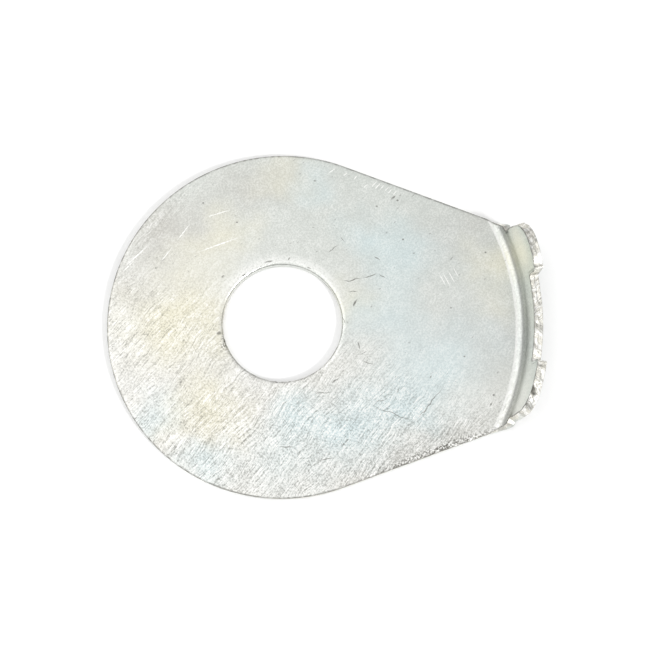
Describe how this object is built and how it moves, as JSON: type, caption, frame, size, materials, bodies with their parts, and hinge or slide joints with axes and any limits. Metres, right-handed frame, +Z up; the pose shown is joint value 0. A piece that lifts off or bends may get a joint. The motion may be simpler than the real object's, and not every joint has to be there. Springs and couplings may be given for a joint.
{
  "type": "friction washer",
  "caption": "Friction washer stamped from thin zinc-plated steel: a round eye with a plain bore, tapering to a curved upturned lip with two ears.",
  "frame": {"origin": "centre of the bore on the underside", "axes": "+Z up along the bore's axis, the way the lip's ears point; +X from the bore towards the lip; +Y across the plate"},
  "size_m": [0.047, 0.0382, 0.0068],
  "materials": {
    "zinc_steel": "bright zinc plate, scuffed"
  },
  "bodies": {
    "root": {"washer": "zinc_steel"}
  },
  "joints": []
}
